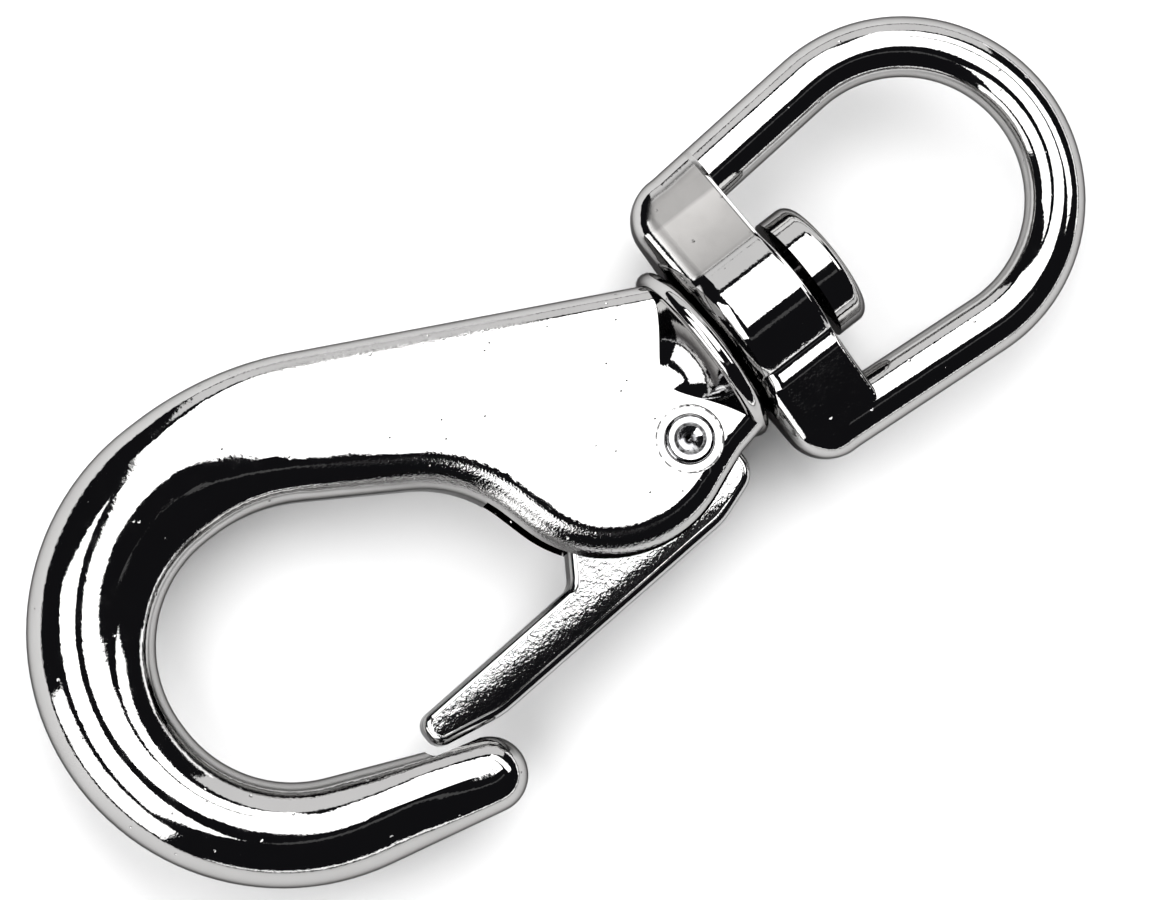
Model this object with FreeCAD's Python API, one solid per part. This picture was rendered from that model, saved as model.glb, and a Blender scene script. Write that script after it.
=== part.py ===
import FreeCAD, Part
import math
import os

# Swivel-eye snap hook, in millimetres.
# +X runs along the swivel axis from the hook to the eye. +Y points to the back of the shank.
# +Z is square to the flat cheeks. The hook is symmetrical about z = 0.
# The origin is on the swivel axis, at the centre of the eye's bow.

Vec = FreeCAD.Vector
ORIGIN = Vec(0, 0, 0)
X_AXIS = Vec(1, 0, 0)
Z_AXIS = Vec(0, 0, 1)
VERTICAL = 1e6
THROUGH = 20.0

# Hook body: a thick plate with rounded edges
BODY_THICKNESS = 10.0
BOWL_EDGE_RADIUS = 4.7
BACK_EDGE_RADIUS = 2.8
LOBE_EDGE_RADIUS = 3.4
NECK_EDGE_RADIUS = 2.2
NOSE_EDGE_RADIUS = 3.5
NECK_X = -24.9
BACK_SLOPE = -0.503
BACK_AT_NECK = 8.15
CROWN_Y = 27.75
CROWN_RADIUS = 34.0
BOWL_LEFT_X = -97.2
BOWL_OUTER_RADIUS = 24.2
BOWL_INNER_LEFT_X = -85.9
BOWL_INNER_RADIUS = 12.5
SHANK_INNER_Y = 14.7
SHOULDER_LINE = (-60.6, 10.05, -0.62)
NOSE_END_X = -62.3
NOSE_END_RADIUS = 3.65
NOSE_UNDER_LINE = (-78.2, -20.1, -0.225)
NOSE_TOP_LINE = (-74.6, -11.4, -0.43)
SEAT_START_X = -69.5
SEAT_START_Y = -14.4
SEAT_SLOPE = -0.27
LOBE_X = -37.2
LOBE_RADIUS = 12.45
LOBE_FRONT_ANGLE = math.radians(-75)
LOBE_UNDER_ANGLE = math.radians(22)

# Gate slot, pivot and rivet
PIVOT_X = -31.7
PIVOT_Y = -5.6
SLOT_WIDTH = 5.4
SLOT_ROOF_Y = 3.4
SLOT_RAMP_ANGLE = math.radians(36)
RIVET_RADIUS = 1.5
RIVET_HEAD_RADIUS = 2.45
RIVET_HEAD_HEIGHT = 0.65
RIVET_HEAD_ROUND = 0.45
RIVET_DIMPLE_RADIUS = 1.25
RIVET_DIMPLE_DEPTH = 1.1
SPOT_FACE_RADIUS = 3.3
SPOT_FACE_DEPTH = 0.35

# Gate
GATE_THICKNESS = 4.8
GATE_BORE_CLEARANCE = 0.06
GATE_BOSS_RADIUS = 3.5
GATE_BOSS_ROOM = 0.4
GATE_POCKET_WIDTH = 2.6
GATE_POCKET_FLOOR_Y = -9.2
GATE_POCKET_END_X = -43.5
GATE_EDGE_RADIUS = 0.9

# Gate spring: a torsion spring wound round the rivet
SPRING_WIRE_RADIUS = 0.3
SPRING_COIL_RADIUS = 2.1
SPRING_LEG_RADIUS = 0.25
SPRING_PITCH = 0.56
SPRING_TURNS = 4
SPRING_ROOF_LEG_RISE = 36.0
SPRING_LEG_END_X = -40.0

# Swivel: flange on the hook, eye and stud
FLANGE_FACE_X = -24.1
FLANGE_BACK_X = -26.0
FLANGE_RADIUS = 9.6
FLANGE_BACK_RADIUS = 8.8
FLARE_START_X = -31.6
FLARE_START_RADIUS = 4.6
FLARE_HOLLOW = 0.55
EYE_HOOK_FACE_X = -23.4
EYE_INNER_FACE_X = -14.3
EYE_BOSS_RADIUS = 7.6
EYE_BOSS_HALF_WIDTH = 5.8
EYE_BOW_RADIUS = 14.6
EYE_ROD_RADIUS = 2.95
EYE_LEG_BASE_Y = 13.2
EYE_END_Y = EYE_LEG_BASE_Y + EYE_ROD_RADIUS
EYE_VALLEY_RADIUS = 2.0
EYE_CORNER_RADIUS = 4.5
EYE_HOOK_EDGE_RADIUS = 2.4
EYE_INNER_EDGE_RADIUS = 0.6
STUD_RADIUS = 3.4
STUD_BORE_CLEARANCE = 0.06
STUD_TAIL_RADIUS = 2.6
STUD_TAIL_X = -28.2
STUD_HEAD_RADIUS = 6.6
STUD_HEAD_START_X = -13.2
STUD_HEAD_END_X = -9.7
STUD_HEAD_EDGE_RADIUS = 1.2


def tangent_outline(corners):
    """A closed wire of straight runs, with an arc of the given radius at each corner (x, y, radius)."""
    count = len(corners)
    stops = []
    for i, (x, y, radius) in enumerate(corners):
        here = Vec(x, y, 0)
        if radius == 0:
            stops.append((here, None, here))
            continue
        before = Vec(corners[i - 1][0], corners[i - 1][1], 0) - here
        after = Vec(corners[(i + 1) % count][0], corners[(i + 1) % count][1], 0) - here
        before.normalize()
        after.normalize()
        half = before.getAngle(after) / 2
        reach = radius / math.tan(half)
        inward = before + after
        inward.normalize()
        middle = here + inward * (radius / math.sin(half) - radius)
        stops.append((here + before * reach, middle, here + after * reach))
    edges = []
    for i, (start, middle, end) in enumerate(stops):
        previous_end = stops[i - 1][2]
        if previous_end.distanceToPoint(start) > 1e-4:
            edges.append(Part.makeLine(previous_end, start))
        if middle is not None:
            edges.append(Part.Arc(start, middle, end).toShape())
    return Part.Wire(Part.__sortEdges__(edges))


def plate(corners, thickness):
    """A flat plate of the outline, centred on z = 0."""
    face = Part.Face(tangent_outline(corners))
    face.translate(Vec(0, 0, -thickness / 2))
    return face.extrude(Vec(0, 0, thickness))


def turned(points, axis):
    """A solid of revolution about an axis through the origin, from points joined by lines."""
    face = Part.Face(Part.makePolygon(points + points[:1]))
    return face.revolve(ORIGIN, axis, 360)


def cylinder_z(x, y, radius, height):
    """A cylinder along Z, centred on z = 0."""
    return Part.makeCylinder(radius, height, Vec(x, y, -height / 2), Z_AXIS)


def crossing(first, second):
    """Where two lines meet, each given as a point on it and its slope."""
    x1, y1, slope1 = first
    x2, y2, slope2 = second
    x = (y2 - y1 + slope1 * x1 - slope2 * x2) / (slope1 - slope2)
    return x, y1 + slope1 * (x - x1)


def lobe_tangent(angle):
    """The line that touches the lobe's circle from below, at an angle from its lowest point."""
    x = LOBE_X + LOBE_RADIUS * math.sin(angle)
    y = -LOBE_RADIUS * math.cos(angle)
    return x, y, math.tan(angle)


def hook_outline():
    """The hook from the side: back, bowl, nose, inner bowl, shoulder and the lobe round the pivot."""
    back = (NECK_X, BACK_AT_NECK, BACK_SLOPE)
    crown = (0, CROWN_Y, 0)
    bowl_side = (BOWL_LEFT_X, 0, VERTICAL)
    nose_end = (NOSE_END_X, 0, VERTICAL)
    inner_side = (BOWL_INNER_LEFT_X, 0, VERTICAL)
    shank_inside = (0, SHANK_INNER_Y, 0)
    lobe_front = lobe_tangent(LOBE_FRONT_ANGLE)
    lobe_under = lobe_tangent(LOBE_UNDER_ANGLE)
    return [
        (NECK_X, BACK_AT_NECK, 0),
        (*crossing(back, crown), CROWN_RADIUS),
        (BOWL_LEFT_X, CROWN_Y, BOWL_OUTER_RADIUS),
        (*crossing(bowl_side, NOSE_UNDER_LINE), BOWL_OUTER_RADIUS),
        (*crossing(nose_end, NOSE_UNDER_LINE), NOSE_END_RADIUS),
        (*crossing(nose_end, NOSE_TOP_LINE), NOSE_END_RADIUS),
        (*crossing(inner_side, NOSE_TOP_LINE), BOWL_INNER_RADIUS),
        (BOWL_INNER_LEFT_X, SHANK_INNER_Y, BOWL_INNER_RADIUS),
        (*crossing(shank_inside, SHOULDER_LINE), 16.0),
        (*crossing(SHOULDER_LINE, lobe_front), 12.0),
        (*crossing(lobe_front, lobe_under), LOBE_RADIUS),
        (-28.2, -9.65, 4.0),
        (NECK_X, -9.0, 0),
    ]


def ramp(value, start, end, at_start, at_end):
    """A straight ramp from one size to another, level beyond its ends."""
    share = min(1.0, max(0.0, (value - start) / (end - start)))
    return at_start + share * (at_end - at_start)


def edge_rounding(point):
    """The radius of the long edges: a nearly round bar in the bowl, flatter along the cheeks."""
    on_nose = point.y < -8.0 and point.x < -60.0
    on_back = point.y > SHANK_INNER_Y + 0.1 or point.x < -88.0 or (point.y > 8.0 and point.x > -30.0)
    if on_nose:
        return ramp(point.x, -78.0, -67.0, BOWL_EDGE_RADIUS, NOSE_EDGE_RADIUS)
    if on_back:
        return ramp(point.x, -92.0, -57.0, BOWL_EDGE_RADIUS, BACK_EDGE_RADIUS)
    if point.x > -50.0:
        return ramp(point.x, -46.0, -28.0, LOBE_EDGE_RADIUS, NECK_EDGE_RADIUS)
    return ramp(point.x, -73.0, -50.0, BOWL_EDGE_RADIUS, LOBE_EDGE_RADIUS)


def hook_blank():
    """The plate of the hook, with all its long edges rounded by a radius that changes along them."""
    document = FreeCAD.newDocument()
    blank = document.addObject("Part::Feature", "blank")
    blank.Shape = plate(hook_outline(), BODY_THICKNESS)
    rounded = document.addObject("Part::Fillet", "rounded")
    rounded.Base = blank
    radii = []
    for number, edge in enumerate(blank.Shape.Edges, start=1):
        box = edge.BoundBox
        if box.ZLength < 1e-6 and box.XLength > 1e-6:
            first = edge.valueAt(edge.FirstParameter)
            last = edge.valueAt(edge.LastParameter)
            radii.append((number, edge_rounding(first), edge_rounding(last)))
    rounded.Edges = radii
    document.recompute()
    return rounded.Shape.copy()


def neck_flange():
    """The round flare and flange that face the eye."""
    flare_start = Vec(FLARE_START_X, FLARE_START_RADIUS, 0)
    flare_end = Vec(FLANGE_BACK_X, FLANGE_BACK_RADIUS, 0)
    flare_middle = (flare_start + flare_end) * 0.5 + Vec(FLARE_HOLLOW, -FLARE_HOLLOW, 0)
    rim_crest = Vec((FLANGE_BACK_X + FLANGE_FACE_X) / 2, FLANGE_RADIUS, 0)
    rim_end = Vec(FLANGE_FACE_X, FLANGE_BACK_RADIUS, 0)
    edges = [
        Part.makeLine(Vec(FLARE_START_X, 0, 0), flare_start),
        Part.Arc(flare_start, flare_middle, flare_end).toShape(),
        Part.Arc(flare_end, rim_crest, rim_end).toShape(),
        Part.makeLine(rim_end, Vec(FLANGE_FACE_X, 0, 0)),
        Part.makeLine(Vec(FLANGE_FACE_X, 0, 0), Vec(FLARE_START_X, 0, 0)),
    ]
    return Part.Face(Part.Wire(edges)).revolve(ORIGIN, X_AXIS, 360)


def gate_slot():
    """The slot between the cheeks, open below. Its roof ramps down to the round room for the gate's boss."""
    room = GATE_BOSS_RADIUS + GATE_BOSS_ROOM
    lean = math.sin(SLOT_RAMP_ANGLE)
    fall = math.cos(SLOT_RAMP_ANGLE)
    ramp_top_x = PIVOT_X + (room - (SLOT_ROOF_Y - PIVOT_Y) * fall) / lean
    ramp_foot_y = PIVOT_Y + room * (1 - lean) / fall
    corners = [
        (-56.6, -0.6, 0),
        (-44.1, SLOT_ROOF_Y, 3.0),
        (ramp_top_x, SLOT_ROOF_Y, 3.0),
        (PIVOT_X + room, ramp_foot_y, room - 0.1),
        (PIVOT_X + room, -20.0, 0),
        (-56.6, -20.0, 0),
    ]
    return plate(corners, SLOT_WIDTH)


def nose_seat():
    """The flat notch in the nose that the closed gate's tip rests in."""
    end_x = -56.0
    corners = [
        (SEAT_START_X, -8.0, 0),
        (SEAT_START_X, SEAT_START_Y, 1.0),
        (end_x, SEAT_START_Y + SEAT_SLOPE * (end_x - SEAT_START_X), 0),
        (end_x, -8.0, 0),
    ]
    return plate(corners, THROUGH)


def hook_body():
    """The hook with its flange, gate slot, rivet hole, spot faces, stud hole and nose seat."""
    body = hook_blank().fuse(neck_flange())
    body = body.cut(gate_slot())
    body = body.cut(nose_seat())
    body = body.cut(cylinder_z(PIVOT_X, PIVOT_Y, RIVET_RADIUS, THROUGH))
    spot_z = BODY_THICKNESS / 2 - SPOT_FACE_DEPTH
    for side in (1, -1):
        start = Vec(PIVOT_X, PIVOT_Y, side * spot_z)
        body = body.cut(Part.makeCylinder(SPOT_FACE_RADIUS, 5, start, Z_AXIS * side))
    hole = Part.makeCylinder(STUD_TAIL_RADIUS, THROUGH, Vec(STUD_TAIL_X, 0, 0), X_AXIS)
    return body.cut(hole).removeSplitter()


def gate_rivet():
    """The pivot pin, with a low rolled head sunk in each cheek and a cone punched in each head."""
    seat = BODY_THICKNESS / 2 - SPOT_FACE_DEPTH
    top = seat + RIVET_HEAD_HEIGHT
    shoulder = RIVET_HEAD_RADIUS - RIVET_HEAD_ROUND
    bend = RIVET_HEAD_ROUND * math.sqrt(0.5)
    crest = Vec(shoulder + bend, 0, top - RIVET_HEAD_ROUND + bend)
    corners = [
        Vec(shoulder, 0, top),
        Vec(RIVET_DIMPLE_RADIUS, 0, top),
        Vec(0, 0, top - RIVET_DIMPLE_DEPTH),
        ORIGIN,
        Vec(RIVET_RADIUS, 0, 0),
        Vec(RIVET_RADIUS, 0, seat),
        Vec(RIVET_HEAD_RADIUS, 0, seat),
        Vec(RIVET_HEAD_RADIUS, 0, top - RIVET_HEAD_ROUND),
    ]
    edges = [Part.Arc(corners[-1], crest, corners[0]).toShape()]
    for start, end in zip(corners, corners[1:]):
        edges.append(Part.makeLine(start, end))
    upper = Part.Face(Part.Wire(Part.__sortEdges__(edges))).revolve(ORIGIN, Z_AXIS, 360)
    rivet = upper.fuse(upper.mirror(ORIGIN, Z_AXIS)).removeSplitter()
    rivet.translate(Vec(PIVOT_X, PIVOT_Y, 0))
    return rivet


def gate_arm():
    """The gate's side view as a plate with rounded edges: tip, arm, spine, heel and web."""
    boss_top = PIVOT_Y + GATE_BOSS_RADIUS
    corners = [
        (-68.4, -10.95, 1.5),
        (-68.4, -14.2, 1.5),
        (-61.5, -15.45, 9.0),
        (-33.4, -13.85, 7.0),
        (-28.1, -12.0, 2.6),
        (-28.0, -7.5, 0),
        (PIVOT_X, PIVOT_Y, 0),
        (PIVOT_X, boss_top, 0),
        (-37.0, boss_top, 6.0),
        (-47.0, -6.8, 1.0),
        (-48.9, -9.75, 1.6),
    ]
    arm = plate(corners, GATE_THICKNESS)
    face_edges = [edge for edge in arm.Edges if edge.BoundBox.ZLength < 1e-6]
    outside = [edge for edge in face_edges if edge.BoundBox.YMax < -7.0 and edge.BoundBox.XMin < -28.2]
    return arm.makeFillet(GATE_EDGE_RADIUS, outside)


def gate():
    """The gate: its arm and spine, and two ears round the rivet with a pocket for the spring."""
    body = gate_arm().fuse(cylinder_z(PIVOT_X, PIVOT_Y, GATE_BOSS_RADIUS, GATE_THICKNESS))
    pocket_corners = [
        (GATE_POCKET_END_X, GATE_POCKET_FLOOR_Y, 0),
        (GATE_POCKET_END_X, 6.0, 0),
        (-20.0, 6.0, 0),
        (-20.0, GATE_POCKET_FLOOR_Y, 0),
    ]
    body = body.cut(plate(pocket_corners, GATE_POCKET_WIDTH))
    bore = cylinder_z(PIVOT_X, PIVOT_Y, RIVET_RADIUS + GATE_BORE_CLEARANCE, THROUGH)
    return body.cut(bore).removeSplitter()


def gate_spring():
    """Close coils round the rivet, with one leg on the gate's floor and one against the slot's roof."""
    top_z = SPRING_PITCH * (SPRING_TURNS - 1) / 2
    pieces = []
    for i in range(SPRING_TURNS):
        centre = Vec(PIVOT_X, PIVOT_Y, i * SPRING_PITCH - top_z)
        pieces.append(Part.makeTorus(SPRING_COIL_RADIUS, SPRING_WIRE_RADIUS, centre, Z_AXIS))
    lean = math.radians(SPRING_ROOF_LEG_RISE)
    roof_start = Vec(
        PIVOT_X + SPRING_COIL_RADIUS * math.sin(lean),
        PIVOT_Y + SPRING_COIL_RADIUS * math.cos(lean),
        top_z,
    )
    rise = (roof_start.x - SPRING_LEG_END_X) * math.tan(lean)
    roof_end = Vec(SPRING_LEG_END_X, roof_start.y + rise, top_z)
    floor_start = Vec(PIVOT_X, PIVOT_Y - SPRING_COIL_RADIUS, -top_z)
    floor_end = Vec(SPRING_LEG_END_X, GATE_POCKET_FLOOR_Y + SPRING_LEG_RADIUS, -top_z)
    for start, end in ((roof_start, roof_end), (floor_start, floor_end)):
        pieces.append(Part.makeCylinder(SPRING_LEG_RADIUS, start.distanceToPoint(end), start, end - start))
    return pieces[0].fuse(pieces[1:])


def eye_base_profile():
    """The base across the swivel axis: a round boss and two wings that end in the rod's round."""
    boss_edge_z = math.sqrt(EYE_BOSS_RADIUS ** 2 - EYE_BOSS_HALF_WIDTH ** 2)
    run = EYE_LEG_BASE_Y - EYE_BOSS_HALF_WIDTH
    span = math.hypot(run, boss_edge_z)
    droop = math.atan2(boss_edge_z, run) - math.asin(EYE_ROD_RADIUS / span)
    wing_end_y = EYE_LEG_BASE_Y + EYE_ROD_RADIUS * math.sin(droop)
    wing_end_z = EYE_ROD_RADIUS * math.cos(droop)
    x = EYE_HOOK_FACE_X
    edges = []
    for side in (1, -1):
        crest = Vec(x, 0, side * EYE_BOSS_RADIUS)
        left = Vec(x, -EYE_BOSS_HALF_WIDTH, side * boss_edge_z)
        right = Vec(x, EYE_BOSS_HALF_WIDTH, side * boss_edge_z)
        edges.append(Part.Arc(left, crest, right).toShape())
        outer = Vec(x, side * EYE_END_Y, 0)
        upper = Vec(x, side * wing_end_y, wing_end_z)
        lower = Vec(x, side * wing_end_y, -wing_end_z)
        edges.append(Part.Arc(upper, outer, lower).toShape())
        edges.append(Part.makeLine(Vec(x, side * EYE_BOSS_HALF_WIDTH, boss_edge_z), upper))
        edges.append(Part.makeLine(Vec(x, side * EYE_BOSS_HALF_WIDTH, -boss_edge_z), lower))
    return Part.Face(Part.Wire(Part.__sortEdges__(edges)))


def hook_side_edges(base):
    """The edges round the hook side of the eye's base, with the arcs of its two rounded corners."""
    corner_x = EYE_HOOK_FACE_X + EYE_CORNER_RADIUS
    corner_y = EYE_END_Y - EYE_CORNER_RADIUS
    edges = []
    for edge in base.Edges:
        middle = edge.valueAt((edge.FirstParameter + edge.LastParameter) / 2)
        reach = math.hypot(middle.x - corner_x, abs(middle.y) - corner_y)
        in_corner = middle.x < corner_x and abs(middle.y) > corner_y
        on_corner_arc = in_corner and abs(reach - EYE_CORNER_RADIUS) < 1e-3
        on_hook_face = edge.BoundBox.XMax < EYE_HOOK_FACE_X + 1e-4
        if on_hook_face or on_corner_arc:
            edges.append(edge)
    return edges


def eye_base():
    """The thick base of the eye, with its hook side rounded from corner to corner."""
    base = eye_base_profile().extrude(Vec(EYE_INNER_FACE_X - EYE_HOOK_FACE_X, 0, 0))
    corners = [
        (EYE_HOOK_FACE_X, -EYE_END_Y, EYE_CORNER_RADIUS),
        (EYE_HOOK_FACE_X, EYE_END_Y, EYE_CORNER_RADIUS),
        (EYE_INNER_FACE_X, EYE_END_Y, 0),
        (EYE_INNER_FACE_X, -EYE_END_Y, 0),
    ]
    base = base.common(plate(corners, THROUGH))
    valleys = []
    for edge in base.Edges:
        box = edge.BoundBox
        if box.XLength > 1 and abs(abs(box.YMin) - EYE_BOSS_HALF_WIDTH) < 0.01:
            valleys.append(edge)
    base = base.makeFillet(EYE_VALLEY_RADIUS, valleys)
    base = base.makeFillet(EYE_HOOK_EDGE_RADIUS, hook_side_edges(base))
    eye_side = [edge for edge in base.Edges if edge.BoundBox.XMin > EYE_INNER_FACE_X - 1e-4]
    return base.makeFillet(EYE_INNER_EDGE_RADIUS, eye_side)


def eye_bow():
    """The round rod of the eye: two legs that spread a little and a half-round bow."""
    leg_x = EYE_HOOK_FACE_X + 5.0
    distance = math.hypot(leg_x, EYE_LEG_BASE_Y)
    spread = math.asin(EYE_BOW_RADIUS / distance) - math.atan2(EYE_LEG_BASE_Y, -leg_x)
    touch = Vec(-EYE_BOW_RADIUS * math.sin(spread), EYE_BOW_RADIUS * math.cos(spread), 0)
    foot = Vec(leg_x, EYE_LEG_BASE_Y, 0)
    mirrored_touch = Vec(touch.x, -touch.y, 0)
    mirrored_foot = Vec(foot.x, -foot.y, 0)
    path = Part.Wire([
        Part.makeLine(foot, touch),
        Part.Arc(touch, Vec(EYE_BOW_RADIUS, 0, 0), mirrored_touch).toShape(),
        Part.makeLine(mirrored_touch, mirrored_foot),
    ])
    section = Part.Wire(Part.makeCircle(EYE_ROD_RADIUS, foot, touch - foot))
    return path.makePipeShell([section], True, False)


def swivel_eye():
    """The eye with its bore for the stud."""
    eye = eye_base().fuse(eye_bow())
    bore = Part.makeCylinder(STUD_RADIUS + STUD_BORE_CLEARANCE, THROUGH, Vec(-30, 0, 0), X_AXIS)
    return eye.cut(bore).removeSplitter()


def swivel_stud():
    """The stud: tail fast in the neck, shank through the eye's bore and a round head inside the eye."""
    profile = [
        Vec(STUD_TAIL_X, 0, 0),
        Vec(STUD_TAIL_X, STUD_TAIL_RADIUS, 0),
        Vec(FLANGE_FACE_X, STUD_TAIL_RADIUS, 0),
        Vec(FLANGE_FACE_X, STUD_RADIUS, 0),
        Vec(STUD_HEAD_START_X, STUD_RADIUS, 0),
        Vec(STUD_HEAD_START_X, STUD_HEAD_RADIUS, 0),
        Vec(STUD_HEAD_END_X, STUD_HEAD_RADIUS, 0),
        Vec(STUD_HEAD_END_X, 0, 0),
    ]
    stud = turned(profile, X_AXIS)
    crown = [e for e in stud.Edges if e.BoundBox.XMin > STUD_HEAD_END_X - 1e-4 and e.Length > 30]
    return stud.makeFillet(STUD_HEAD_EDGE_RADIUS, crown)


def write_parts():
    """One STEP file for each piece."""
    pieces = {
        "hook_body": hook_body(),
        "gate": gate(),
        "gate_rivet": gate_rivet(),
        "gate_spring": gate_spring(),
        "swivel_eye": swivel_eye(),
        "swivel_stud": swivel_stud(),
    }
    os.makedirs("parts", exist_ok=True)
    for name, shape in pieces.items():
        shape.exportStep(os.path.join("parts", name + ".step"))
        print(name, shape.isValid(), len(shape.Solids), round(shape.Volume, 1))


write_parts()
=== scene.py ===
import math

import bpy
from mathutils import Matrix, Vector


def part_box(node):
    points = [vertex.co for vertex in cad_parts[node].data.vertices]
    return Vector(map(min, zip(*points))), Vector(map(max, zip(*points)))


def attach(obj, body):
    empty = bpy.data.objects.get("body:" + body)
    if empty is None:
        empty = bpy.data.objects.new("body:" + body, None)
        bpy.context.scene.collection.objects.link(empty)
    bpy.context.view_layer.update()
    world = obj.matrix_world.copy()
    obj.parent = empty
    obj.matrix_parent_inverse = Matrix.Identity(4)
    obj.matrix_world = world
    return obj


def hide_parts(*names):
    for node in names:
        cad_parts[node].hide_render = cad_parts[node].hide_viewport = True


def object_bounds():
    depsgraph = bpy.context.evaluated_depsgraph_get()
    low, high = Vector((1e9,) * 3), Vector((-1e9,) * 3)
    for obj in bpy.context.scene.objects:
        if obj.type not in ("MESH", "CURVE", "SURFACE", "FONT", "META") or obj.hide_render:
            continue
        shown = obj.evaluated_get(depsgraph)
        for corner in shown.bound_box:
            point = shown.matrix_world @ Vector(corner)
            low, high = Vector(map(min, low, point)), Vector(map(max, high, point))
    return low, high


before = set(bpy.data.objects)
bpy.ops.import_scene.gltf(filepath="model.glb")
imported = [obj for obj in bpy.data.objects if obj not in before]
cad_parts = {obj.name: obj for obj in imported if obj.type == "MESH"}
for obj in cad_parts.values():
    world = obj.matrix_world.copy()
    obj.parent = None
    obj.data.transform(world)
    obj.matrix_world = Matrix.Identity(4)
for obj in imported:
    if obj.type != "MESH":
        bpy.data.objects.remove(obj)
cad_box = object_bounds()

MM = 0.001

# Camera: nearly square to the flat cheeks, leaning towards the bowl, with the hook turned in the picture
CAMERA_DISTANCE = 600 * MM
CAMERA_TILT = math.radians(8)
CAMERA_ROLL = math.radians(37.5)
VIEW_CENTRE = Vector((-39.4 * MM, -0.5 * MM, 0))
VIEW_WIDTH = 111.9 * MM
SENSOR_WIDTH = 36.0

# Studio
PANEL_DISTANCE = 0.9
FLOOR_SIZE = 8.0
FLOOR_GAP = 0.1 * MM
SOFT_WHITE = 4.0
DARK_ROOM = (0.012, 0.012, 0.014, 1)

# Crown of the bowl: its bar is domed from a ridge, and the dome fades out along the shank and the nose
BOWL_RADIUS = 24.2 * MM
BOWL_CENTRE = Vector((cad_box[0][0] + BOWL_RADIUS, 3.55 * MM, 0))
RIDGE_RADIUS = 18.9 * MM
RIDGE_REACH = 5.65 * MM
CROWN_DEPTH = 0.42
SHANK_FADE = (math.radians(132), math.radians(84))
NOSE_FADE = (math.radians(112), math.radians(82))
CROWN_END_X = -50 * MM
FINE_EDGE = 1.1 * MM
HALVINGS = 7
SLOPE_STEP = 0.01 * MM
WELD_GRID = 0.0001 * MM

# Colours: the metal is darkest at glancing angles, and each pair runs from a darker to a lighter shade
EDGE_TINT = (0.12, 0.118, 0.12, 1)
PLATING_SHADES = ((0.39, 0.386, 0.382), (0.45, 0.446, 0.442))
# Painted shade and highlight for the eye's satin flats: near black, lightest at the edge between two facets
SATIN_PAINTED_SHADES = ((0.03, 0.03, 0.03), (0.21, 0.205, 0.2))
TUMBLED_SHADES = ((0.4, 0.4, 0.4), (0.48, 0.476, 0.472))
SPRING_SHADES = ((0.34, 0.34, 0.36), (0.52, 0.51, 0.50))
PAPER_SHADES = ((0.91, 0.91, 0.91), (0.93, 0.93, 0.93))
RIVET_SHADE = (0.56, 0.56, 0.57)
# Painted shade at the foot of the rivet's spot face, and deeper painted shade in the rivet's dimple and
# grooves
LIGHT_PAINTED_SHADE = (0.05, 0.05, 0.05)
DEEP_PAINTED_SHADE = (0.01, 0.01, 0.01)

# Places where a finish changes, and the widths over which it does
SHANK_START_X = (-64 * MM, -54 * MM)
NECK_START_X = (-40 * MM, -35 * MM)
EYE_BASE_THICKNESS = 9.1 * MM
EYE_BASE_FADE = 0.5 * MM
EYE_BOSS_EDGE = 5.4 * MM
EYE_BOSS_FADE = 0.6 * MM
EYE_FACET_EDGE = 11.7 * MM
EYE_FACET_FADE = 0.4 * MM
GATE_DISH_TOP = 11.6 * MM
GATE_WEB_X = (-38 * MM, -50 * MM)
# Where painted shade lies round the rivet: its dimple, its grooves and the foot of its spot face
DIMPLE_PAINTED_SHADE = (0.6 * MM, 0.35 * MM)
RIVET_GROOVES = ((1.4 * MM, 0.28 * MM), (2.15 * MM, 0.14 * MM))
SPOT_FACE_FOOT = (3.2 * MM, 0.16 * MM)
GROOVE_FLOOR_SHARE = 0.4

# Hollows in the finish: a depth in millimetres for the square of the distance in millimetres
EYE_FOOT_MM = 2.0
EYE_FOOT_CURVE = -0.16
GATE_DISH_CURVE = -0.085


def new_material(name, metallic=1.0):
    """A node material with a Principled shader; returns the material, its node tree and the shader."""
    material = bpy.data.materials.new(name)
    material.use_nodes = True
    tree = material.node_tree
    tree.nodes.clear()
    output = tree.nodes.new("ShaderNodeOutputMaterial")
    shader = tree.nodes.new("ShaderNodeBsdfPrincipled")
    tree.links.new(shader.outputs["BSDF"], output.inputs["Surface"])
    shader.inputs["Metallic"].default_value = metallic
    shader.inputs["Specular Tint"].default_value = EDGE_TINT
    return material, tree, shader


def object_point(tree):
    """The surface point in the piece's own frame, in metres."""
    return tree.nodes.new("ShaderNodeTexCoord").outputs["Object"]


def split_axes(tree, vector):
    """The X, Y and Z of a vector output."""
    node = tree.nodes.new("ShaderNodeSeparateXYZ")
    tree.links.new(vector, node.inputs["Vector"])
    return node.outputs["X"], node.outputs["Y"], node.outputs["Z"]


def combine(tree, operation, *values):
    """Math nodes that take two or more values one after another, each an output or a number."""
    result = values[0]
    for value in values[1:]:
        node = tree.nodes.new("ShaderNodeMath")
        node.operation = operation
        for socket, term in zip(node.inputs, (result, value)):
            if isinstance(term, (int, float)):
                socket.default_value = term
            else:
                tree.links.new(term, socket)
        result = node.outputs["Value"]
    return result


def remap(tree, value, from_low, from_high, to_low, to_high):
    """A clamped linear change of range."""
    node = tree.nodes.new("ShaderNodeMapRange")
    tree.links.new(value, node.inputs["Value"])
    limits = zip(("From Min", "From Max", "To Min", "To Max"), (from_low, from_high, to_low, to_high))
    for socket, number in limits:
        node.inputs[socket].default_value = number
    return node.outputs["Result"]


def facing_sides(tree, low, high):
    """One where the piece's own surface faces square to its flat sides, fading to zero."""
    normal = tree.nodes.new("ShaderNodeTexCoord").outputs["Normal"]
    return remap(tree, combine(tree, "ABSOLUTE", split_axes(tree, normal)[2], 0.0), low, high, 0.0, 1.0)


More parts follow.
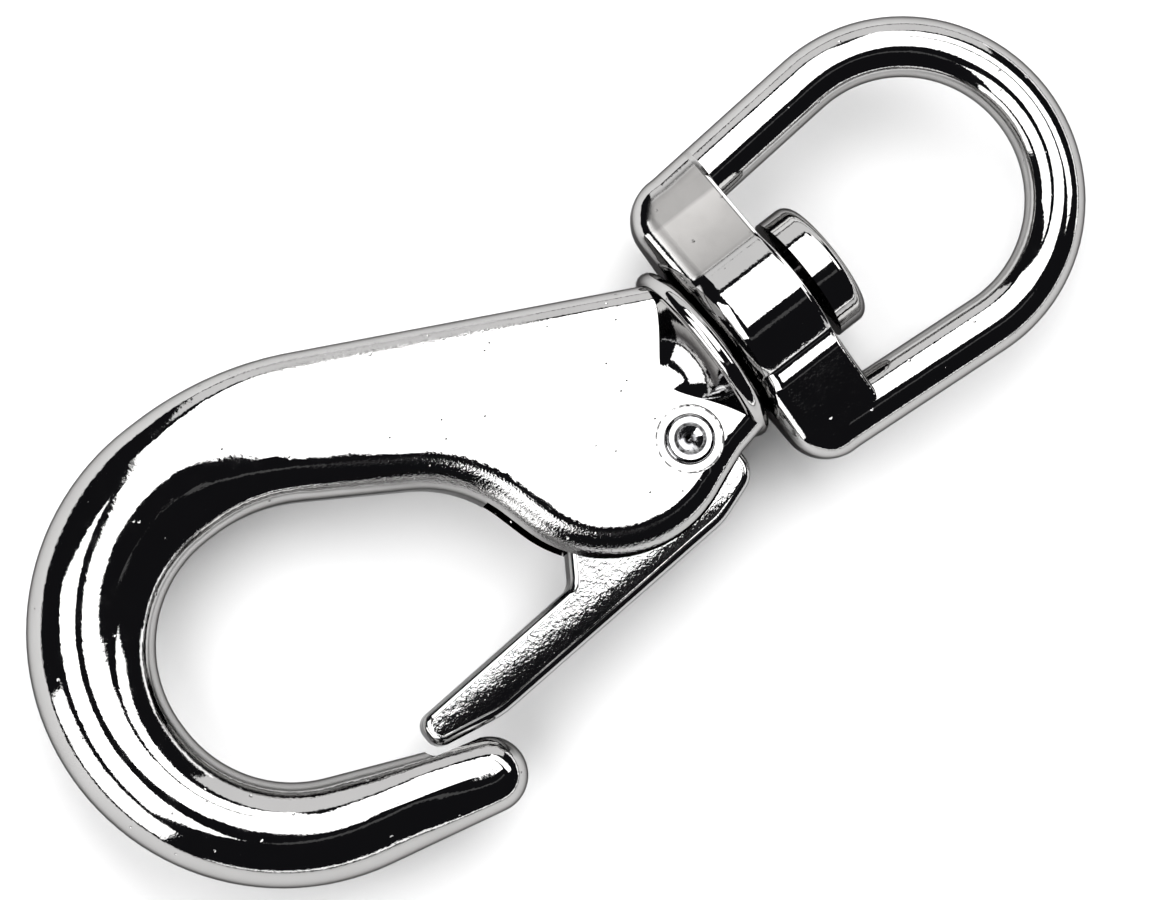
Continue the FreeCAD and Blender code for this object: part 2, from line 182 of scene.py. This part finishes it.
def noise(tree, size_mm, detail=2.0, roughness=0.5, stretch_x=1.0):
    """Noise with features of about the given size, drawn out along X by the stretch."""
    mapping = tree.nodes.new("ShaderNodeMapping")
    mapping.inputs["Scale"].default_value = (1 / stretch_x, 1.0, 1.0)
    tree.links.new(object_point(tree), mapping.inputs["Vector"])
    node = tree.nodes.new("ShaderNodeTexNoise")
    node.inputs["Scale"].default_value = 1 / (size_mm * MM)
    node.inputs["Detail"].default_value = detail
    node.inputs["Roughness"].default_value = roughness
    tree.links.new(mapping.outputs["Vector"], node.inputs["Vector"])
    return node.outputs["Fac"]


def ripple(tree, size_mm, height_mm, detail=2.0, roughness=0.5, stretch_x=1.0):
    """A height in millimetres from noise with features of about the given size."""
    return combine(tree, "MULTIPLY", noise(tree, size_mm, detail, roughness, stretch_x), height_mm)


def spots(tree, cell_mm, radius_share):
    """One at the centres of scattered round spots and zero elsewhere."""
    node = tree.nodes.new("ShaderNodeTexVoronoi")
    node.inputs["Scale"].default_value = 1 / (cell_mm * MM)
    tree.links.new(object_point(tree), node.inputs["Vector"])
    return remap(tree, node.outputs["Distance"], radius_share, 0.0, 0.0, 1.0)


def mix_colour(tree, amount, low, high):
    """A colour between two colours, each an output or red, green and blue."""
    node = tree.nodes.new("ShaderNodeMix")
    node.data_type = "RGBA"
    tree.links.new(amount, node.inputs["Factor"])
    for socket, colour in (("A", low), ("B", high)):
        if isinstance(colour, tuple):
            node.inputs[socket].default_value = (*colour, 1)
        else:
            tree.links.new(colour, node.inputs[socket])
    return node.outputs["Result"]


def finish(tree, shader, height_mm, colour, roughness):
    """Connects a height in millimetres, a colour and a roughness to the shader."""
    node = tree.nodes.new("ShaderNodeBump")
    node.inputs["Distance"].default_value = MM
    tree.links.new(height_mm, node.inputs["Height"])
    tree.links.new(node.outputs["Normal"], shader.inputs["Normal"])
    tree.links.new(colour, shader.inputs["Base Color"])
    tree.links.new(roughness, shader.inputs["Roughness"])


def plated_surface(tree):
    """Bright plating on a smooth casting; returns its height, colour and roughness."""
    along = split_axes(tree, object_point(tree))[0]
    on_cheeks = combine(
        tree,
        "MINIMUM",
        remap(tree, along, *SHANK_START_X, 0.1, 1.0),
        remap(tree, along, *NECK_START_X, 1.0, 0.1),
    )
    rounded = combine(tree, "SUBTRACT", 1.0, facing_sides(tree, low=0.96, high=0.999))
    casting_skin = ripple(tree, size_mm=0.22, height_mm=0.034)
    pits = spots(tree, cell_mm=2.0, radius_share=0.09)
    height = combine(
        tree,
        "ADD",
        ripple(tree, size_mm=3.5, height_mm=0.02, detail=1.0),
        ripple(tree, size_mm=0.5, height_mm=0.005, detail=3.0),
        combine(tree, "MULTIPLY", casting_skin, rounded, on_cheeks),
        ripple(tree, size_mm=0.25, height_mm=0.0012, stretch_x=25.0),
        combine(tree, "MULTIPLY", pits, -0.07),
    )
    colour = mix_colour(tree, noise(tree, size_mm=6.0), *PLATING_SHADES)
    haze = noise(tree, size_mm=1.5, detail=4.0)
    return height, colour, remap(tree, haze, 0.45, 0.75, 0.025, 0.08)


def distance_from_rivet(tree):
    """How far the surface point is from the rivet's axis."""
    low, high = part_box("gate_rivet")
    x, y = split_axes(tree, object_point(tree))[:2]
    off_x = combine(tree, "SUBTRACT", x, (low[0] + high[0]) / 2)
    off_y = combine(tree, "SUBTRACT", y, (low[1] + high[1]) / 2)
    square_x = combine(tree, "MULTIPLY", off_x, off_x)
    square_y = combine(tree, "MULTIPLY", off_y, off_y)
    return combine(tree, "SQRT", combine(tree, "ADD", square_x, square_y), 0.0)


def in_groove(tree, distance, radius, half_width):
    """One in a round groove of the given radius, fading to zero at its sides."""
    off_groove = combine(tree, "ABSOLUTE", combine(tree, "SUBTRACT", distance, radius), 0.0)
    return remap(tree, off_groove, half_width, GROOVE_FLOOR_SHARE * half_width, 0.0, 1.0)


def polished_plate():
    """The plating of the hook and the stud, with a broken ring of painted shade at the foot of the rivet's
    spot face.
    """
    material, tree, shader = new_material("polished_plate")
    height, colour, roughness = plated_surface(tree)
    # Painted shade: a broken dark ring at the foot of the spot face round the rivet
    painted_shade = in_groove(tree, distance_from_rivet(tree), *SPOT_FACE_FOOT)
    unbroken = remap(tree, noise(tree, size_mm=0.6), 0.42, 0.55, 0.0, 1.0)
    painted_shade = combine(tree, "MULTIPLY", painted_shade, unbroken)
    finish(tree, shader, height, mix_colour(tree, painted_shade, colour, LIGHT_PAINTED_SHADE), roughness)
    return material


def eye_plate():
    """The plating of the eye: one flat of its base is satin, painted dark as shade with a painted highlight
    at the edge between its facets; the other has a hollow along its foot.
    """
    material, tree, shader = new_material("eye_plate")
    height, colour, roughness = plated_surface(tree)
    x, y = split_axes(tree, object_point(tree))[:2]
    base_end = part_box("swivel_eye")[0][0] + EYE_BASE_THICKNESS
    on_base = remap(tree, x, base_end, base_end - EYE_BASE_FADE, 0.0, 1.0)
    beside_boss = remap(tree, y, EYE_BOSS_EDGE, EYE_BOSS_EDGE + EYE_BOSS_FADE, 0.0, 1.0)
    on_flats = facing_sides(tree, low=0.8, high=0.93)
    # Satin finish on the base's flats with painted shade: dark, lighter towards the edge between the facets
    # as a painted highlight, darker again beyond it
    satin_and_painted_shade = combine(tree, "MULTIPLY", on_base, on_flats, beside_boss)
    shade = combine(
        tree,
        "SUBTRACT",
        remap(tree, y, EYE_BOSS_EDGE, EYE_FACET_EDGE, 0.5, 1.0),
        remap(tree, y, EYE_FACET_EDGE, EYE_FACET_EDGE + EYE_FACET_FADE, 0.0, 0.4),
    )
    satin_painted_shading = mix_colour(tree, shade, *SATIN_PAINTED_SHADES)
    foot = remap(tree, y, -EYE_BOSS_EDGE - EYE_FOOT_MM * MM, -EYE_BOSS_EDGE, 0.0, EYE_FOOT_MM)
    hollow = combine(tree, "MULTIPLY", foot, foot, EYE_FOOT_CURVE, on_base)
    finish(
        tree,
        shader,
        combine(tree, "ADD", height, hollow),
        mix_colour(tree, satin_and_painted_shade, colour, satin_painted_shading),
        combine(tree, "ADD", roughness, combine(tree, "MULTIPLY", satin_and_painted_shade, 0.3)),
    )
    return material


def tumbled_plate():
    """Plating over the gate's rough cast sides, slightly dished below, smooth along the rounded edges."""
    material, tree, shader = new_material("tumbled_plate")
    x, y = split_axes(tree, object_point(tree))[:2]
    below_mm = combine(tree, "DIVIDE", combine(tree, "ADD", y, GATE_DISH_TOP), MM)
    below_mm = combine(tree, "MINIMUM", below_mm, 0.0)
    dish = combine(tree, "MULTIPLY", below_mm, below_mm, GATE_DISH_CURVE)
    grain = combine(
        tree,
        "ADD",
        ripple(tree, size_mm=0.34, height_mm=0.085, roughness=0.6),
        ripple(tree, size_mm=0.9, height_mm=0.075, detail=1.0),
    )
    grain = combine(tree, "MULTIPLY", grain, remap(tree, x, *GATE_WEB_X, 0.5, 1.0))
    on_flats = facing_sides(tree, low=0.985, high=1.0)
    cast = combine(tree, "MULTIPLY", combine(tree, "ADD", dish, grain), on_flats)
    smooth = ripple(tree, size_mm=2.0, height_mm=0.01, detail=1.0)
    finish(
        tree,
        shader,
        combine(tree, "ADD", cast, smooth),
        mix_colour(tree, noise(tree, size_mm=0.9, detail=3.0), *TUMBLED_SHADES),
        remap(tree, noise(tree, size_mm=0.7, detail=3.0), 0.35, 0.7, 0.03, 0.1),
    )
    return material


def rivet_steel():
    """The rolled rivet heads, bright, with painted shade in the dimple and the turned grooves round it."""
    material, tree, shader = new_material("rivet_steel")
    distance = distance_from_rivet(tree)
    # Painted shade: dark in the dimple and in the grooves, slightly uneven
    painted_shade = remap(tree, distance, *DIMPLE_PAINTED_SHADE, 0.0, 1.0)
    for radius, half_width in RIVET_GROOVES:
        painted_shade = combine(tree, "MAXIMUM", painted_shade, in_groove(tree, distance, radius, half_width))
    uneven_shade = remap(tree, noise(tree, size_mm=0.5), 0.3, 0.6, 0.8, 1.0)
    finish(
        tree,
        shader,
        ripple(tree, size_mm=0.6, height_mm=0.02, detail=3.0),
        mix_colour(tree, combine(tree, "MULTIPLY", painted_shade, uneven_shade), RIVET_SHADE, DEEP_PAINTED_SHADE),
        remap(tree, noise(tree, size_mm=0.5, detail=3.0), 0.3, 0.7, 0.05, 0.15),
    )
    return material


def spring_steel():
    """Drawn spring wire, duller than the plating."""
    material, tree, shader = new_material("spring_steel")
    finish(
        tree,
        shader,
        ripple(tree, size_mm=0.15, height_mm=0.006),
        mix_colour(tree, noise(tree, size_mm=0.5, detail=3.0), *SPRING_SHADES),
        remap(tree, noise(tree, size_mm=0.3, detail=3.0), 0.3, 0.7, 0.2, 0.4),
    )
    return material


def floor_paper():
    """Matt white paper with a trace of tooth."""
    material, tree, shader = new_material("floor_paper", metallic=0.0)
    finish(
        tree,
        shader,
        ripple(tree, size_mm=1.0, height_mm=0.004),
        mix_colour(tree, noise(tree, size_mm=60.0), *PAPER_SHADES),
        remap(tree, noise(tree, size_mm=40.0, detail=3.0), 0.3, 0.7, 0.85, 0.95),
    )
    return material


def paint(node, material):
    """Gives a CAD node its material."""
    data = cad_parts[node].data
    data.materials.clear()
    data.materials.append(material)


def add_floor():
    """A wide flat floor just under the hook."""
    bpy.ops.mesh.primitive_plane_add(size=FLOOR_SIZE, location=(0, 0, cad_box[0][2] - FLOOR_GAP))
    floor = bpy.context.object
    floor.name = "floor"
    floor.data.materials.append(floor_paper())


def add_light(name, size_x, size_y, radiance, placing):
    """A rectangular area light of even brightness, unseen by the camera itself."""
    light = bpy.data.lights.new(name, "AREA")
    light.shape = "RECTANGLE"
    light.size = size_x
    light.size_y = size_y
    light.energy = radiance * math.pi * size_x * size_y
    lamp = bpy.data.objects.new(name, light)
    bpy.context.collection.objects.link(lamp)
    lamp.matrix_world = placing
    lamp.visible_camera = False


def add_wall(name, azimuth, elevation, width, height, radiance):
    """An upright soft panel, placed and sized by the angles in degrees at which the hook sees it."""
    turn = math.radians(azimuth)
    rise = math.radians(elevation)
    towards = Vector((math.cos(turn) * math.cos(rise), math.sin(turn) * math.cos(rise), math.sin(rise)))
    across = Vector((-math.sin(turn), math.cos(turn), 0))
    axes = Matrix((across, towards.cross(across), towards)).transposed().to_4x4()
    size_x = 2 * PANEL_DISTANCE * math.tan(math.radians(width) / 2)
    size_y = 2 * PANEL_DISTANCE * math.tan(math.radians(height) / 2)
    placing = Matrix.Translation(VIEW_CENTRE + towards * PANEL_DISTANCE) @ axes
    add_light(name, size_x, size_y, radiance, placing)


def add_ceiling(name, x_angles, y_angles, radiance):
    """A level soft panel overhead, between angles in degrees from straight up along X and along Y."""
    low_x, high_x = (PANEL_DISTANCE * math.tan(math.radians(angle)) for angle in x_angles)
    low_y, high_y = (PANEL_DISTANCE * math.tan(math.radians(angle)) for angle in y_angles)
    centre = VIEW_CENTRE + Vector(((low_x + high_x) / 2, (low_y + high_y) / 2, PANEL_DISTANCE))
    add_light(name, high_x - low_x, high_y - low_y, radiance, Matrix.Translation(centre))


def add_studio():
    """Soft panels overhead and at the sides, with dark gaps between them that the plating mirrors."""
    world = bpy.data.worlds.new("studio")
    bpy.context.scene.world = world
    world.use_nodes = True
    world.node_tree.nodes["Background"].inputs["Color"].default_value = DARK_ROOM
    bpy.context.scene.view_settings.view_transform = "Standard"
    add_ceiling("overhead", (-2, 30), (-9, 54), SOFT_WHITE)
    add_wall("left_high", 162, 54, 59, 36, SOFT_WHITE)
    add_wall("left_low", 180, 15, 45, 24, 0.8 * SOFT_WHITE)
    add_wall("back_low", 51, 17, 64, 29, 0.33 * SOFT_WHITE)
    add_wall("right_high", 11.5, 46.5, 65, 18, SOFT_WHITE)
    add_wall("right_strip", 350, 5, 60, 5, 0.6 * SOFT_WHITE)
    add_wall("front_strip", 270, 3, 110, 3, 0.6 * SOFT_WHITE)
    add_wall("front_glow", 270, 64, 40, 4, 0.03 * SOFT_WHITE)


def add_camera():
    """The camera, placed by its tilt and roll."""
    camera = bpy.data.cameras.new("camera")
    camera.sensor_width = SENSOR_WIDTH
    camera.lens = SENSOR_WIDTH * CAMERA_DISTANCE / VIEW_WIDTH
    holder = bpy.data.objects.new("camera", camera)
    bpy.context.collection.objects.link(holder)
    back = Vector((-math.sin(CAMERA_TILT), 0, math.cos(CAMERA_TILT)))
    flat_right = Vector((math.cos(CAMERA_ROLL), -math.sin(CAMERA_ROLL), 0))
    right = (flat_right - back * flat_right.dot(back)).normalized()
    up = back.cross(right)
    rotation = Matrix((right, up, back)).transposed().to_4x4()
    holder.matrix_world = Matrix.Translation(VIEW_CENTRE + back * CAMERA_DISTANCE) @ rotation
    bpy.context.scene.camera = holder


def eased(value, start, end):
    """Zero at the start and one at the end, level beyond them."""
    share = min(1.0, max(0.0, (value - start) / (end - start)))
    return share * share * (3 - 2 * share)


def thinning(x, y):
    """The share of its height that the bar keeps at a point of its plan: all of it on the ridge."""
    from_left = math.atan2(y - BOWL_CENTRE.y, BOWL_CENTRE.x - x)
    fade = SHANK_FADE if from_left > 0 else NOSE_FADE
    strength = CROWN_DEPTH * eased(abs(from_left), *fade)
    off_ridge = (math.hypot(x - BOWL_CENTRE.x, y - BOWL_CENTRE.y) - RIDGE_RADIUS) / RIDGE_REACH
    return 1 - strength * off_ridge ** 2 / (1 + off_ridge ** 2)


def crowned_point(point):
    """A surface point after the bar is domed."""
    return Vector((point.x, point.y, point.z * thinning(point.x, point.y)))


def crowned_normal(point, normal):
    """The normal after the bar is domed, from the slope of the thinning."""
    keep = thinning(point.x, point.y)
    rise_x = thinning(point.x + SLOPE_STEP, point.y) - thinning(point.x - SLOPE_STEP, point.y)
    rise_y = thinning(point.x, point.y + SLOPE_STEP) - thinning(point.x, point.y - SLOPE_STEP)
    slope_x = rise_x / (2 * SLOPE_STEP)
    slope_y = rise_y / (2 * SLOPE_STEP)
    tilted = Vector((
        normal.x - point.z * slope_x / keep * normal.z,
        normal.y - point.z * slope_y / keep * normal.z,
        normal.z / keep,
    ))
    return tilted.normalized()


def welded_surface(mesh):
    """A mesh as points and triangles, each corner of a triangle as (point number, normal)."""
    numbers = {}
    points = []
    triangles = []
    for face in mesh.polygons:
        corners = []
        for loop_number in face.loop_indices:
            point = mesh.vertices[mesh.loops[loop_number].vertex_index].co
            key = tuple(round(value / WELD_GRID) for value in point)
            if key not in numbers:
                numbers[key] = len(points)
                points.append(point.copy())
            corners.append((numbers[key], mesh.corner_normals[loop_number].vector.copy()))
        if len({number for number, normal in corners}) == 3:
            triangles.append(corners)
    return points, triangles


def cut_pieces(outline):
    """The triangles that fill a triangle with one or more middles in its outline of (corner, is_middle)."""
    result = []
    rest = []
    for place, (corner, is_middle) in enumerate(outline):
        before = outline[place - 1]
        beyond = outline[(place + 1) % len(outline)]
        if before[1] and beyond[1]:
            result.append([before[0], corner, beyond[0]])
        else:
            rest.append((corner, is_middle))
    first_middle = [is_middle for corner, is_middle in rest].index(True)
    fan = [corner for corner, is_middle in rest[first_middle:] + rest[:first_middle]]
    for second, third in zip(fan[1:], fan[2:]):
        result.append([fan[0], second, third])
    return result


def halved_once(points, triangles):
    """The triangles with every long edge of the bowl cut at its middle; the new points are added."""
    middles = {}

    def middle(first, second):
        """The number of the point halfway along an edge, or None where the edge stays whole."""
        key = (min(first, second), max(first, second))
        if key not in middles:
            start, end = points[first], points[second]
            middles[key] = None
            if (start - end).length > FINE_EDGE and min(start.x, end.x) < CROWN_END_X:
                middles[key] = len(points)
                points.append((start + end) / 2)
        return middles[key]

    result = []
    for corners in triangles:
        outline = []
        for here, after in zip(corners, corners[1:] + corners[:1]):
            outline.append((here, False))
            number = middle(here[0], after[0])
            if number is not None:
                outline.append(((number, (here[1] + after[1]).normalized()), True))
        if len(outline) == len(corners):
            result.append(corners)
        else:
            result.extend(cut_pieces(outline))
    return result


def crowned_hook(material):
    """The hook's own surface, divided finely round the bowl and domed there from the ridge of the bar."""
    points, triangles = welded_surface(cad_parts["hook_body"].data)
    for _ in range(HALVINGS):
        triangles = halved_once(points, triangles)
    normals = []
    for corners in triangles:
        normals.extend(crowned_normal(points[number], normal) for number, normal in corners)
    mesh = bpy.data.meshes.new("crowned_hook")
    faces = [[number for number, normal in corners] for corners in triangles]
    mesh.from_pydata([crowned_point(point) for point in points], [], faces)
    mesh.polygons.foreach_set("use_smooth", [True] * len(faces))
    mesh.normals_split_custom_set(normals)
    mesh.materials.append(material)
    piece = bpy.data.objects.new("crowned_hook", mesh)
    bpy.context.collection.objects.link(piece)
    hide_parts("hook_body")
    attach(piece, "hook")


hook_plate = polished_plate()
crowned_hook(hook_plate)
paint("swivel_stud", hook_plate)
paint("swivel_eye", eye_plate())
paint("gate", tumbled_plate())
paint("gate_rivet", rivet_steel())
paint("gate_spring", spring_steel())
add_floor()
add_studio()
add_camera()
